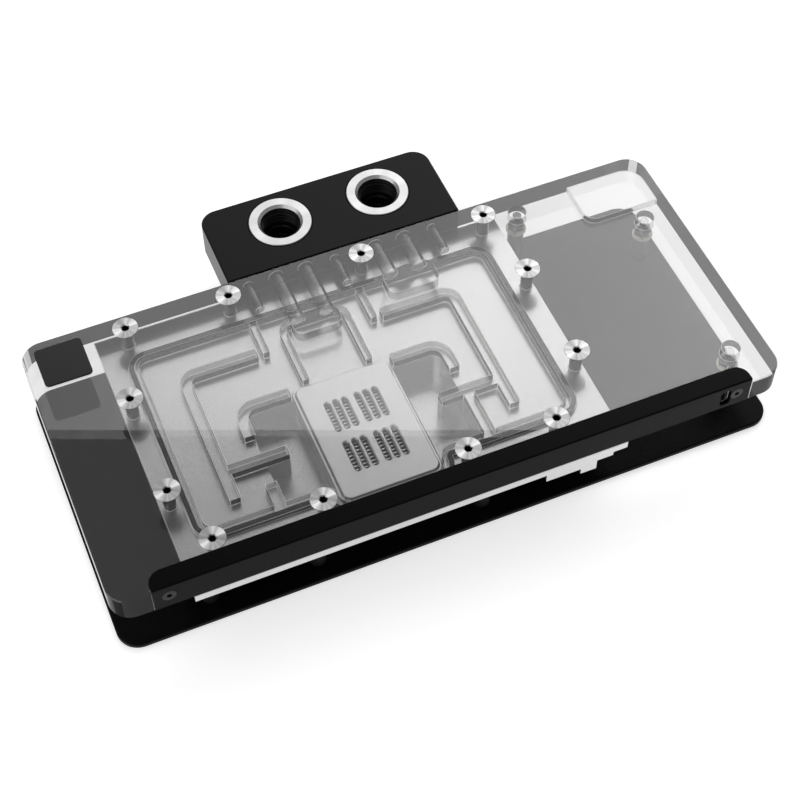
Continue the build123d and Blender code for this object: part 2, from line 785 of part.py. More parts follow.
# Light strip: a narrow circuit board against the trim, lamps facing into the cover
board_front_y = cover_front_y + trim_thickness + seat_gap
with BuildPart() as light_board:
    with BuildSketch(Plane.XY.offset(light_groove_middle - light_board_height / 2)):
        with Locations((0, board_front_y + light_board_thickness / 2)):
            Rectangle(light_board_length, light_board_thickness)
    extrude(amount=light_board_height)
light_board.part.label = "light_board"
export_step(light_board.part, "parts/light_board.step")

with BuildPart() as lamps:
    with BuildSketch(Plane.XY.offset(light_groove_middle - lamp_size / 2)):
        with Locations((0, board_front_y + light_board_thickness + lamp_thickness / 2)):
            with GridLocations(lamp_pitch, 1, int(light_board_length / lamp_pitch), 1):
                Rectangle(lamp_size, lamp_thickness)
    extrude(amount=lamp_size)
lamps.part.label = "lamps"
export_step(lamps.part, "parts/lamps.step")

# Plug socket of the light strip, behind the trim's slot
with BuildPart() as light_socket:
    with BuildSketch(Plane.XY.offset(light_groove_middle - light_board_height / 2)):
        with Locations(at(socket_slot_x - slip_gap, trim_thickness + seat_gap + socket_depth / 2)):
            Rectangle(socket_slot_width - 2 * slip_gap, socket_depth)
    extrude(amount=light_board_height)
    with BuildSketch(Plane.XZ.offset(-board_front_y)):
        with Locations((at(socket_slot_x - slip_gap, 0)[0], light_groove_middle)):
            Rectangle(socket_slot_width / 2, socket_mouth_height)
    extrude(amount=-socket_mouth_depth, mode=Mode.SUBTRACT)
light_socket.part.label = "light_socket"
export_step(light_socket.part, "parts/light_socket.step")

# Badge plate, bare and black, stuck on the cover
with BuildPart() as badge:
    with BuildSketch(Plane.XY.offset(cover_top)):
        with Locations(at(badge_inset + badge_size / 2, cover_width - badge_back_inset - badge_size / 2)):
            RectangleRounded(badge_size, badge_size, badge_corner_radius)
    extrude(amount=badge_thickness)
    chamfer(badge.faces().sort_by(Axis.Z)[-1].edges(), badge_thickness / 3)
badge.part.label = "badge"
export_step(badge.part, "parts/badge.step")

# Backplate, aluminium sheet, anodised black, countersunk from below
with BuildPart() as backplate:
    with BuildSketch(Plane.XY):
        with Locations(at(cover_length / 2, cover_width / 2)):
            RectangleRounded(cover_length, cover_width, cover_corner_radius)
    extrude(amount=backplate_thickness)
    chamfer(backplate.faces().sort_by(Axis.Z)[-1].edges(), cover_edge_break)
    for x, y in card_post_places:
        with Locations(Plane(origin=(x, y, 0), z_dir=(0, 0, -1))):
            CounterSinkHole(
                small_screw_diameter / 2 + seat_gap,
                small_screw_head_diameter / 2 + seat_gap,
                depth=backplate_thickness,
                counter_sink_angle=90,
            )
    for x, y in end_post_places:
        with Locations(Plane(origin=(x, y, 0), z_dir=(0, 0, -1))):
            CounterSinkHole(
                end_screw_diameter / 2 + seat_gap,
                end_screw_head_diameter / 2 + seat_gap,
                depth=backplate_thickness,
                counter_sink_angle=90,
            )
backplate.part.label = "backplate"
export_step(backplate.part, "parts/backplate.step")

# Standoffs, hexagonal, under the cold plate; the card is held between them and the spacers
with BuildPart() as standoffs:
    with BuildSketch(Plane.XY.offset(standoff_bottom)):
        with Locations(*card_post_places):
            RegularPolygon(standoff_across_flats / 2, 6, major_radius=False)
            Circle(small_screw_diameter / 2 + seat_gap, mode=Mode.SUBTRACT)
    extrude(amount=standoff_height)
standoffs.part.label = "standoffs"
export_step(standoffs.part, "parts/standoffs.step")

# Spacers, round and black, between backplate and standoffs
with BuildPart() as spacers:
    with BuildSketch(Plane.XY.offset(backplate_top)):
        with Locations(*card_post_places):
            Circle(spacer_diameter / 2)
            Circle(small_screw_diameter / 2 + seat_gap, mode=Mode.SUBTRACT)
    extrude(amount=spacer_height)
spacers.part.label = "spacers"
export_step(spacers.part, "parts/spacers.step")

# Card screws, countersunk in the backplate, up through spacer and standoff into the cold plate
with BuildPart() as card_screws:
    with Locations(*[(x, y, 0) for x, y in card_post_places]):
        Cone(
            small_screw_head_diameter / 2,
            small_screw_diameter / 2,
            small_head_height,
            align=(Align.CENTER, Align.CENTER, Align.MIN),
        )
        Cylinder(
            small_screw_diameter / 2,
            plate_bottom + small_screw_bite,
            align=(Align.CENTER, Align.CENTER, Align.MIN),
        )
    with BuildSketch(Plane.XY):
        with Locations(*card_post_places):
            RegularPolygon(small_screw_socket / 2, 6, major_radius=False)
    extrude(amount=small_head_height, mode=Mode.SUBTRACT)
card_screws.part.label = "card_screws"
export_step(card_screws.part, "parts/card_screws.step")

# End posts: spacer, washer, nut and a screw from below, at the card's free end
end_spacer_top = backplate_top + end_spacer_height
washer_top = end_spacer_top + washer_thickness
with BuildPart() as end_spacers:
    with BuildSketch(Plane.XY.offset(backplate_top)):
        with Locations(*end_post_places):
            Circle(spacer_diameter / 2)
            Circle(end_screw_diameter / 2 + seat_gap, mode=Mode.SUBTRACT)
    extrude(amount=end_spacer_height)
end_spacers.part.label = "end_spacers"
export_step(end_spacers.part, "parts/end_spacers.step")

with BuildPart() as end_washers:
    with BuildSketch(Plane.XY.offset(end_spacer_top)):
        with Locations(*end_post_places):
            Circle(washer_diameter / 2)
            Circle(end_screw_diameter / 2 + seat_gap, mode=Mode.SUBTRACT)
    extrude(amount=washer_thickness)
end_washers.part.label = "end_washers"
export_step(end_washers.part, "parts/end_washers.step")

with BuildPart() as end_nuts:
    with BuildSketch(Plane.XY.offset(washer_top)):
        with Locations(*end_post_places):
            RegularPolygon(nut_across_flats / 2, 6, major_radius=False)
    extrude(amount=nut_height)
    with Locations(*[(x, y, washer_top + nut_height / 2) for x, y in end_post_places]):
        Cone(
            nut_across_flats / 2 + nut_height,
            nut_across_flats / 2,
            nut_height,
            mode=Mode.INTERSECT,
        )
    with BuildSketch(Plane.XY.offset(washer_top)):
        with Locations(*end_post_places):
            Circle(end_screw_diameter / 2 + seat_gap)
    extrude(amount=nut_height, mode=Mode.SUBTRACT)
end_nuts.part.label = "end_nuts"
export_step(end_nuts.part, "parts/end_nuts.step")

with BuildPart() as end_screws:
    end_head_height = (end_screw_head_diameter - end_screw_diameter) / 2
    with Locations(*[(x, y, 0) for x, y in end_post_places]):
        Cone(
            end_screw_head_diameter / 2,
            end_screw_diameter / 2,
            end_head_height,
            align=(Align.CENTER, Align.CENTER, Align.MIN),
        )
        Cylinder(
            end_screw_diameter / 2,
            end_screw_length,
            align=(Align.CENTER, Align.CENTER, Align.MIN),
        )
    with BuildSketch(Plane.XY):
        with Locations(*end_post_places):
            RegularPolygon(end_screw_socket / 2, 6, major_radius=False)
    extrude(amount=end_head_height, mode=Mode.SUBTRACT)
end_screws.part.label = "end_screws"
export_step(end_screws.part, "parts/end_screws.step")
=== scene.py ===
import json
import math

import bmesh
import bpy
from mathutils import Matrix, Vector


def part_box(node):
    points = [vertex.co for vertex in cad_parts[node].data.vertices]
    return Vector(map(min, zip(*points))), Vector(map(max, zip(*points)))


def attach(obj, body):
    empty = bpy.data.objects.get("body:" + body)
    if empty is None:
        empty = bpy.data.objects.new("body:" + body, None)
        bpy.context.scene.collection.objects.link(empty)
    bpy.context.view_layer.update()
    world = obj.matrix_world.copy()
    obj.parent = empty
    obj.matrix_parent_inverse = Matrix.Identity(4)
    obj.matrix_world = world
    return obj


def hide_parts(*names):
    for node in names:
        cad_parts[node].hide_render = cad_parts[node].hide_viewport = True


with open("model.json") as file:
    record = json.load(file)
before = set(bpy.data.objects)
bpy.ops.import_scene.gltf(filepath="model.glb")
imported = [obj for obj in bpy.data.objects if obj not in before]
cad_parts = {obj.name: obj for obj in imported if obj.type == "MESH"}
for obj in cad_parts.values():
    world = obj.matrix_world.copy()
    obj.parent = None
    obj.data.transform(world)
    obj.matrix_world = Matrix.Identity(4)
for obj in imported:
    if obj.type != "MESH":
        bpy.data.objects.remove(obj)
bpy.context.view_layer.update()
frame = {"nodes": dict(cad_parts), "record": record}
nodes = frame["nodes"]
slots = {part["node"]: part["material_slot"] for part in frame["record"]["subparts"]}
mm = 0.001


# Backplate: a sheet of aluminium under the card, cut to the block's outline, its edge broken,
# then blasted and anodised black. All the posts are screwed to it from below.
plate_edge = 0.25 * mm
merge_distance = 0.002 * mm
# Corners sharper than the first are broken, and ones flatter than the second are shaded as one
broken_angle = math.radians(50)
smooth_angle = math.radians(21)
# A face is level where its normal's height is more than this
level_normal = 0.99999
# A colour Mix node's two colours and its result, by the numbers of their sockets
first_colour, second_colour, mixed_colour = 6, 7, 2


def linear(colour):
    """Turn an sRGB hex colour into linear light."""
    shares = [int(colour[i:i + 2], 16) / 255 for i in (1, 3, 5)]
    return [s / 12.92 if s <= 0.04045 else ((s + 0.055) / 1.055) ** 2.4 for s in shares] + [1.0]


def add_node(tree, kind, values=(), links=(), **settings):
    """Add a node with its own settings, its socket values and what is linked to its sockets."""
    node = tree.nodes.new(kind)
    for name, value in settings.items():
        setattr(node, name, value)
    for socket, value in dict(values).items():
        node.inputs[socket].default_value = value
    for socket, source in dict(links).items():
        tree.links.new(source, node.inputs[socket])
    return node


def grained(name, dark, light, grain, relief, roughness, surface=()):
    """Make a finish whose tone, gloss and height vary with a fine grain of that size."""
    material = bpy.data.materials.new(name)
    material.use_nodes = True
    tree = material.node_tree
    tree.nodes.clear()
    place = add_node(tree, "ShaderNodeTexCoord")
    speckle = add_node(
        tree, "ShaderNodeTexNoise", {"Scale": 1 / grain, "Detail": 3.0},
        {"Vector": place.outputs["Object"]},
    )
    tone = add_node(
        tree, "ShaderNodeMix",
        {first_colour: linear(dark), second_colour: linear(light)},
        {0: speckle.outputs["Fac"]}, data_type="RGBA",
    )
    gloss = add_node(
        tree, "ShaderNodeMapRange", {"To Min": roughness[0], "To Max": roughness[1]},
        {"Value": speckle.outputs["Fac"]},
    )
    height = add_node(
        tree, "ShaderNodeBump", {"Distance": relief}, {"Height": speckle.outputs["Fac"]},
    )
    shader = add_node(
        tree, "ShaderNodeBsdfPrincipled", surface,
        {
            "Base Color": tone.outputs[mixed_colour], "Roughness": gloss.outputs[0],
            "Normal": height.outputs[0],
        },
    )
    add_node(tree, "ShaderNodeOutputMaterial", links={"Surface": shader.outputs[0]})
    return material


def merged_copy(node):
    """Copy a CAD node's mesh, with its loose triangles merged into a closed surface."""
    shape = bmesh.new()
    shape.from_mesh(nodes[node].data)
    bmesh.ops.remove_doubles(shape, verts=shape.verts, dist=merge_distance)
    return shape


def add_piece(shape, name, slot, *materials, edge=0.0, edge_finish=-1):
    """Turn a finished shape into a piece of the object, with its edges broken by that much."""
    if edge:
        edges = [side for side in shape.edges if side.calc_face_angle(0) > broken_angle]
        bmesh.ops.bevel(
            shape, geom=edges, offset=edge, offset_type="OFFSET", affect="EDGES", segments=1,
            profile=0.5, material=edge_finish, clamp_overlap=False,
        )
    shape.normal_update()
    for face in shape.faces:
        face.smooth = True
    # A level face is shaded by itself, so that what it mirrors has no kink near its border
    for side in shape.edges:
        level = {abs(face.normal.z) > level_normal for face in side.link_faces}
        side.smooth = side.calc_face_angle(0) < smooth_angle and len(level) < 2
    mesh = bpy.data.meshes.new(name)
    shape.to_mesh(mesh)
    shape.free()
    for material in materials:
        mesh.materials.append(material)
    piece = bpy.data.objects.new(name, mesh)
    bpy.context.scene.collection.objects.link(piece)
    flat = piece.modifiers.new("flat faces", "WEIGHTED_NORMAL")
    flat.weight = 100
    flat.keep_sharp = True
    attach(piece, "root")
    return piece


def dress(node, material):
    """Give a CAD node that keeps its shape a finish."""
    for holder in nodes[node].material_slots:
        holder.material = material


# Anodised aluminium, bead blasted: dark, evenly satin, with a fine tooth that breaks up reflections
anodised = grained(
    "anodised_aluminium", "#060607", "#0a0a0b", grain=0.35 * mm, relief=0.0004 * mm,
    roughness=(0.24, 0.32), surface={"Specular IOR Level": 0.05},
)
backplate = add_piece(
    merged_copy("backplate"), "backplate_sheet", slots["backplate"], anodised, edge=plate_edge
)
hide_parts("backplate")


# Card screws, spacers and standoffs: black steel screws come up from below through the backplate,
# moulded spacers and turned hexagonal standoffs, and end in the cold plate. They clamp the card.

# Black oxide on steel: almost black, with an oily half gloss
black_steel = grained(
    "black_oxide_steel", "#0e0e10", "#17171a", grain=0.2 * mm, relief=0.001 * mm,
    roughness=(0.26, 0.38), surface={"Metallic": 0.6},
)
# Moulded nylon, black, matte with a faint mottle
black_nylon = grained(
    "moulded_nylon", "#0c0c0c", "#131313", grain=0.5 * mm, relief=0.004 * mm,
    roughness=(0.5, 0.62),
)
# Stainless steel from the drawn bar, turned and tumbled: bright, and softly mirroring
bar_steel = grained(
    "tumbled_stainless", "#b4b4b4", "#cacaca", grain=0.25 * mm, relief=0.001 * mm,
    roughness=(0.12, 0.2), surface={"Metallic": 1.0},
)
dress("card_screws", black_steel)
dress("spacers", black_nylon)
dress("standoffs", bar_steel)


# End posts: at the free end of the card a nylon spacer and washer stand on the backplate, and a
# stainless screw from below holds them with a chamfered hexagonal nut.
nut_edge = 0.15 * mm

# Natural nylon, moulded: off-white and slightly waxy
natural_nylon = grained(
    "natural_nylon", "#cfcabc", "#dedacd", grain=0.6 * mm, relief=0.008 * mm,
    roughness=(0.4, 0.52),
)
dress("end_spacers", black_nylon)
dress("end_washers", natural_nylon)
dress("end_screws", bar_steel)
end_nuts = add_piece(
    merged_copy("end_nuts"), "end_nut_set", slots["end_nuts"], bar_steel, edge=nut_edge
)
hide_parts("end_nuts")


# Cold plate: milled from a thick copper slab, with fins and two wells sunk in a deeper block, then
# nickel plated all over. The plating is bright, and keeps the faint swirl of the cutter under it.
seat_relief = 0.03 * mm
plated_edge = 0.12 * mm
cutter_track = 2.4 * mm
cutter_relief = 0.001 * mm
cutter_strength = 0.25
plating_cloud = 18 * mm
plating_tooth = 0.25 * mm
plating_relief = 0.0002 * mm


def plated(name, dark, light, roughness):
    """Make a bright nickel plating over milled copper, with the cutter's faint tracks."""
    material = bpy.data.materials.new(name)
    material.use_nodes = True
    tree = material.node_tree
    tree.nodes.clear()
    place = add_node(tree, "ShaderNodeTexCoord")
    cloud = add_node(
        tree, "ShaderNodeTexNoise", {"Scale": 1 / plating_cloud, "Detail": 2.0},
        {"Vector": place.outputs["Object"]},
    )
    tracks = add_node(
        tree, "ShaderNodeTexWave", {"Scale": 1 / (cutter_track * math.tau), "Distortion": 1.5},
        {"Vector": place.outputs["Object"]}, wave_type="RINGS", rings_direction="Z",
    )
    tooth = add_node(
        tree, "ShaderNodeTexNoise", {"Scale": 1 / plating_tooth, "Detail": 2.0},
        {"Vector": place.outputs["Object"]},
    )
    tone = add_node(
        tree, "ShaderNodeMix",
        {first_colour: linear(dark), second_colour: linear(light)},
        {0: cloud.outputs["Fac"]}, data_type="RGBA",
    )
    gloss = add_node(
        tree, "ShaderNodeMapRange", {"To Min": roughness[0], "To Max": roughness[1]},
        {"Value": tooth.outputs["Fac"]},
    )
    swirl = add_node(
        tree, "ShaderNodeBump", {"Strength": cutter_strength, "Distance": cutter_relief},
        {"Height": tracks.outputs["Fac"]},
    )
    height = add_node(
        tree, "ShaderNodeBump", {"Distance": plating_relief},
        {"Height": tooth.outputs["Fac"], "Normal": swirl.outputs[0]},
    )
    shader = add_node(
        tree, "ShaderNodeBsdfPrincipled", {"Metallic": 1.0},
        {
            "Base Color": tone.outputs[mixed_colour], "Roughness": gloss.outputs[0],
            "Normal": height.outputs[0],
        },
    )
    add_node(tree, "ShaderNodeOutputMaterial", links={"Surface": shader.outputs[0]})
    return material


# Electroless nickel on the milled slab: pale grey, clearly reflecting with soft edges
nickel = plated("nickel_plating", "#dadada", "#e4e4e4", roughness=(0.25, 0.31))
# Its top lies a hair low, so that it doesn't flicker against the cover's underside
plate_shape = merged_copy("cold_plate")
plate_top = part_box("cold_plate")[1][2]
for corner in plate_shape.verts:
    if corner.co.z > plate_top - seat_relief:
        corner.co.z = plate_top - seat_relief
cold_plate = add_piece(
    plate_shape, "plated_cold_plate", slots["cold_plate"], nickel, edge=plated_edge
)
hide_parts("cold_plate")


# Main seal: a black rubber ring laid in the groove round the water chamber.
# It is moulded, with a soft dull skin, and shows as a dark line through the cover.
seal_rubber = grained(
    "nitrile_rubber", "#0b0b0b", "#141414", grain=0.3 * mm, relief=0.008 * mm,
    roughness=(0.55, 0.7),
)
dress("main_seal", seal_rubber)


# Jet plate: pressed from thin sheet with a raised field and slots, then nickel plated.
# It lies on the fins and aims the water through its slots.
sheet_edge = 0.4 * mm

# The same plating over rolled sheet, a little brighter
sheet_nickel = plated("nickel_plated_sheet", "#dedede", "#e6e6e6", roughness=(0.26, 0.32))
jet_plate = add_piece(
    merged_copy("jet_plate"), "plated_jet_plate", slots["jet_plate"], sheet_nickel, edge=sheet_edge
)
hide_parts("jet_plate")


# Clear cover: cast acrylic sheet, sawn and milled, with the chamber, guides and bores cut into it.
# Its outside and the chamber's roof are polished, and the milled walls stay slightly satin.
fitting_gap = 0.03 * mm
cover_edge = 0.2 * mm
outer_band = 1 * mm
casting_wave = 25 * mm
casting_relief = 0.002 * mm
casting_strength = 0.3
# Milled walls facing this way get the painted shade, and the others its paler lit copy
painted_shade_facing = Vector((-0.37, -0.93, 0))
# Acrylic has 1.49. Here the body hardly bends light, so that the milled walls stay where the
# photograph shows them, and the skin mirrors a little more, as it does there
body_ior = 1.03
skin_ior = 1.66


def clear(name, tint, roughness, coat_roughness, skin=1.0, clarity=1.0):
    """Make clear acrylic that lets light and shadow pass, with a reflecting skin."""
    material = bpy.data.materials.new(name)
    material.use_nodes = True
    tree = material.node_tree
    tree.nodes.clear()
    place = add_node(tree, "ShaderNodeTexCoord")
    waves = add_node(
        tree, "ShaderNodeTexNoise", {"Scale": 1 / casting_wave, "Detail": 1.0},
        {"Vector": place.outputs["Object"]},
    )
    height = add_node(
        tree, "ShaderNodeBump", {"Strength": casting_strength, "Distance": casting_relief},
        {"Height": waves.outputs["Fac"]},
    )
    # The gloss varies by about half over a wave
    gloss = add_node(
        tree, "ShaderNodeMapRange", {"To Min": roughness, "To Max": roughness * 1.5 + 0.002},
        {"Value": waves.outputs["Fac"]},
    )
    shader = add_node(
        tree, "ShaderNodeBsdfPrincipled",
        {
            "Base Color": linear(tint), "Transmission Weight": clarity, "IOR": body_ior,
            "Coat Weight": skin, "Coat IOR": skin_ior, "Coat Roughness": coat_roughness,
        },
        {"Roughness": gloss.outputs[0], "Normal": height.outputs[0]},
    )
    # Light passes two faces, so each takes the root of the tint
    one_face = [share ** 0.5 for share in linear(tint)]
    passing = add_node(tree, "ShaderNodeBsdfTransparent", {"Color": one_face})
    rays = add_node(tree, "ShaderNodeLightPath")
    body = add_node(
        tree, "ShaderNodeMixShader",
        links={0: rays.outputs["Is Shadow Ray"], 1: shader.outputs[0], 2: passing.outputs[0]},
    )
    add_node(tree, "ShaderNodeOutputMaterial", links={"Surface": body.outputs[0]})
    return material


# Cast acrylic, polished: faintly grey in its thickness, with sharp reflections on its skin
acrylic = clear("cast_acrylic_polished", "#d7d7d7", roughness=0.01, coat_roughness=0.01)
# The same on milled walls facing the front, tinted near black as painted shade from the dark room
shaded_wall_acrylic = clear(
    "cast_acrylic_milled_painted_shade", "#030303", roughness=0.02, coat_roughness=0.02, skin=0.1
)
# The same on milled walls that face the light: a paler grey, the lit copy of the painted shade
lit_acrylic = clear("cast_acrylic_lit_wall", "#a0a0a0", roughness=0.02, coat_roughness=0.02)
# The same at the sawn outer edges: painted shade, which shows as a grey band through the top
sawn_shade_acrylic = clear(
    "cast_acrylic_sawn_painted_shade", "#080808", roughness=0.02, coat_roughness=0.04, skin=0.3
)
# The same on its broken edges: faint frosting and a painted highlight, so they show as bright lines
edge_highlight_acrylic = clear(
    "cast_acrylic_edge_painted_highlight", "#ffffff", roughness=0.25, coat_roughness=0.1, clarity=0.4
)
cover_shape = merged_copy("clear_cover")
cover_low, cover_high = (Vector(corner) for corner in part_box("clear_cover"))
cover_middle = (cover_low + cover_high) / 2
shrink = [1 - 2 * fitting_gap / side for side in cover_high - cover_low]
bmesh.ops.scale(
    cover_shape, vec=shrink, space=Matrix.Translation(-cover_middle), verts=cover_shape.verts
)
# The other finishes' places after the polished one: painted wall shade, painted edge band shade,
# lit wall copy and painted edge highlight
milled, sawn, lit, frosted_highlight = range(1, 5)
for face in cover_shape.faces:
    middle = face.calc_center_median()
    inside = (
        cover_low.x + outer_band < middle.x < cover_high.x - outer_band
        and cover_low.y + outer_band < middle.y < cover_high.y - outer_band
    )
    upright = abs(face.normal.z) < 0.5
    # Inner walls get painted shade or its lit copy by the way they face, outer ones the painted
    # band
    if upright and inside:
        face.material_index = milled if face.normal.dot(painted_shade_facing) > 0 else lit
    elif upright:
        face.material_index = sawn
cover = add_piece(
    cover_shape, "acrylic_cover", slots["clear_cover"], acrylic, shaded_wall_acrylic, sawn_shade_acrylic,
    lit_acrylic, edge_highlight_acrylic, edge=cover_edge, edge_finish=frosted_highlight,
)
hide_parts("clear_cover")


# Cover screws: turned from stainless bar, countersunk, with a hexagon socket broached in the face.
# They draw the cover down on the seal and bite in the cold plate.
screw_head_radius = 4.17 * mm
screw_shank_radius = 2.0 * mm
screw_head_rim = 0.25 * mm
screw_length = 12.0 * mm
socket_across_flats = 2.2 * mm
socket_rim = 1.42 * mm
socket_depth = 1.9 * mm
turning_pitch = 0.35 * mm
turning_relief = 0.002 * mm
turning_strength = 0.6
# Painted glints: wedges round the face that go light and dark, standing in for the star of light;
# how many there are, and the stretch of their noise over which the face goes from dark to light
glint_wedges = 8
glint_from, glint_to = 0.4, 0.66
round_steps = 48
turn_between = math.radians(37)


def centres(node):
    """Find the middle of each separate solid in a CAD node."""
    shape = merged_copy(node)
    left = set(shape.verts)
    found = []
    while left:
        reached = [left.pop()]
        for corner in reached:
            for side in corner.link_edges:
                other = side.other_vert(corner)
                if other in left:
                    left.remove(other)
                    reached.append(other)
        spans = [[corner.co[axis] for corner in reached] for axis in range(3)]
        found.append(Vector([(min(span) + max(span)) / 2 for span in spans]))
    shape.free()
    return sorted(found, key=lambda spot: (round(spot.x, 5), round(spot.y, 5)))


def spin_profile(points, steps=round_steps):
    """Spin a profile of (radius, height) points about the Z axis."""
    shape = bmesh.new()
    corners = [shape.verts.new((radius, 0, height)) for radius, height in points]
    sides = [shape.edges.new(pair) for pair in zip(corners, corners[1:])]
    bmesh.ops.spin(
        shape, geom=corners + sides, axis=(0, 0, 1), cent=(0, 0, 0), angle=math.tau,
        steps=steps, use_merge=True,
    )
    bmesh.ops.remove_doubles(shape, verts=shape.verts, dist=merge_distance / 2)
    return shape


def screw(head, shank, length, rim, flats, depth, mouth):
    """Model a countersunk screw that hangs down from its face, with a hexagon socket."""
    chamfer, point, cone = 0.3 * rim, 0.4 * shank, 0.25 * mouth
    shape = spin_profile([
        (mouth, 0), (head - chamfer, 0), (head, -chamfer), (head, -rim),
        (shank, -rim - (head - shank)), (shank, -length + point),
        (shank - point, -length), (0, -length),
    ])
    opening = [side for side in shape.edges if side.is_boundary]
    hexagon = bmesh.ops.create_circle(shape, segments=6, radius=flats / math.sqrt(3))["verts"]
    bmesh.ops.translate(shape, verts=hexagon, vec=(0, 0, -cone))
    flanks = list({side for corner in hexagon for side in corner.link_edges})
    cut = bmesh.ops.subdivide_edges(shape, edges=flanks, cuts=round_steps // 6 - 1)
    flanks = [part for part in cut["geom"] if isinstance(part, bmesh.types.BMEdge)]
    bmesh.ops.bridge_loops(shape, edges=opening + flanks)
    walls = bmesh.ops.extrude_edge_only(shape, edges=flanks)["geom"]
    low = [part for part in walls if isinstance(part, bmesh.types.BMVert)]
    bmesh.ops.translate(shape, verts=low, vec=(0, 0, -depth))
    floor_sides = [part for part in walls if isinstance(part, bmesh.types.BMEdge)]
    floor_sides = [side for side in floor_sides if side.is_boundary]
    bmesh.ops.contextual_create(shape, geom=floor_sides)
    # Inside the mouth, the socket's walls and floor get painted shade
    socket_shade_index, shank_shade = 1, 2
    for face in shape.faces:
        middle = face.calc_center_median()
        if middle.xy.length < mouth and middle.z > -depth - mouth:
            face.material_index = socket_shade_index if middle.z < -cone else 0
        # Below the head, the cone and shank get the painted shade
        elif middle.z < -rim:
            face.material_index = shank_shade
    bmesh.ops.recalc_face_normals(shape, faces=shape.faces)
    return shape


def copy_to(shape, spots):
    """Repeat a shape at several places, each turned a little further than the last."""
    whole = bmesh.new()
    for index, spot in enumerate(spots):
        mesh = bpy.data.meshes.new("one")
        shape.to_mesh(mesh)
        mesh.transform(Matrix.Rotation(index * turn_between, 4, "Z"))
        mesh.transform(Matrix.Translation(spot))
        whole.from_mesh(mesh)
        bpy.data.meshes.remove(mesh)
    shape.free()
    return whole


def map_turning(shape, spots):
    """Lay a map of angle and radius round the nearest spot, for marks that run round it."""
    layer = shape.loops.layers.uv.new("turning")
    for face in shape.faces:
        middle = face.calc_center_median()
        spot = min(spots, key=lambda place: (place - middle).xy.length)
        start = math.atan2(middle.y - spot.y, middle.x - spot.x)
        for loop in face.loops:
            way = loop.vert.co - spot
            angle = math.atan2(way.y, way.x) if way.xy.length > merge_distance else start
            angle = start + (angle - start + math.pi) % math.tau - math.pi
            loop[layer].uv = (angle / math.tau, way.xy.length / mm)


def turned(name, dark, light, pitch, roughness, anisotropy):
    """Make a metal faced on a lathe, with wedges of painted glint, from the map of angle and
    radius.
    """
    material = bpy.data.materials.new(name)
    material.use_nodes = True
    tree = material.node_tree
    tree.nodes.clear()
    turning = add_node(tree, "ShaderNodeUVMap", uv_map="turning")
    split = add_node(tree, "ShaderNodeSeparateXYZ", links={"Vector": turning.outputs[0]})
    rings = add_node(
        tree, "ShaderNodeTexNoise", {"Scale": mm / pitch, "Detail": 2.0},
        {"W": split.outputs["Y"]}, noise_dimensions="1D",
    )
    glint_wedge_noise = add_node(
        tree, "ShaderNodeTexNoise", {"Scale": glint_wedges, "Detail": 1.5},
        {"W": split.outputs["X"]}, noise_dimensions="1D",
    )
    glint = add_node(
        tree, "ShaderNodeMapRange", {"From Min": glint_from, "From Max": glint_to},
        {"Value": glint_wedge_noise.outputs["Fac"]},
    )
    # Painted glint: the tone steps between the dark and light colours wedge by wedge round the face
    tone = add_node(
        tree, "ShaderNodeMix",
        {first_colour: linear(dark), second_colour: linear(light)},
        {0: glint.outputs[0]}, data_type="RGBA",
    )
    height = add_node(
        tree, "ShaderNodeBump", {"Strength": turning_strength, "Distance": turning_relief},
        {"Height": rings.outputs["Fac"]},
    )
    gloss = add_node(
        tree, "ShaderNodeMapRange", {"To Min": roughness[0], "To Max": roughness[1]},
        {"Value": rings.outputs["Fac"]},
    )
    round_way = add_node(tree, "ShaderNodeTangent", direction_type="UV_MAP", uv_map="turning")
    shader = add_node(
        tree, "ShaderNodeBsdfPrincipled",
        {"Metallic": 1.0, "Anisotropic": anisotropy, "Anisotropic Rotation": 0.25},
        {
            "Base Color": tone.outputs[mixed_colour], "Roughness": gloss.outputs[0],
            "Normal": height.outputs[0], "Tangent": round_way.outputs[0],
        },
    )
    add_node(tree, "ShaderNodeOutputMaterial", links={"Surface": shader.outputs[0]})
    return material


# Stainless steel faced on a lathe: fine rings round the middle, and a star of painted glints
turned_steel = turned(
    "turned_stainless", "#a2a2a2", "#e4e4e4", pitch=turning_pitch, roughness=(0.3, 0.38),
    anisotropy=0.9,
)
# The broached socket, tinted near black as painted shade in its hollow
painted_socket_shade = grained(
    "broached_socket_painted_shade", "#060606", "#0c0c0c", grain=0.3 * mm, relief=0.002 * mm,
    roughness=(0.4, 0.5), surface={"Metallic": 0.5},
)
# The cone and shank, rolled, tinted near black as painted shade in their bore through the cover
shaded_shank_steel = grained(
    "rolled_stainless_painted_shade", "#161616", "#242424", grain=0.3 * mm, relief=0.001 * mm,
    roughness=(0.2, 0.3), surface={"Metallic": 1.0},
)
screw_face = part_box("cover_screws")[1][2]
screw_spots = [Vector((spot.x, spot.y, screw_face)) for spot in centres("cover_screws")]
screw_shapes = copy_to(
    screw(
        screw_head_radius, screw_shank_radius, screw_length, screw_head_rim,
        socket_across_flats, socket_depth, socket_rim,
    ),
    screw_spots,
)
map_turning(screw_shapes, screw_spots)
cover_screws = add_piece(
    screw_shapes, "turned_cover_screws", slots["cover_screws"], turned_steel, painted_socket_shade,
    shaded_shank_steel,
)
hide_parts("cover_screws")


# Face seals and terminal: two oval rubber rings seal the bores between the cover's back edge and
# the terminal, which is milled from black acetal, its edges broken and its two ports threaded.
acetal_edge = 0.35 * mm
port_axes = [Vector((x * mm, 53.0 * mm, 0)) for x in (-14.4, 20.7)]
bore_radius = 5.8 * mm
bore_tolerance = 0.05 * mm
thread_root = 6.58 * mm
thread_crest = 5.85 * mm
thread_pitch = 1.337 * mm
thread_sink = 0.02 * mm
thread_turns = 2.9
thread_start = 21.5 * mm
thread_steps = 40
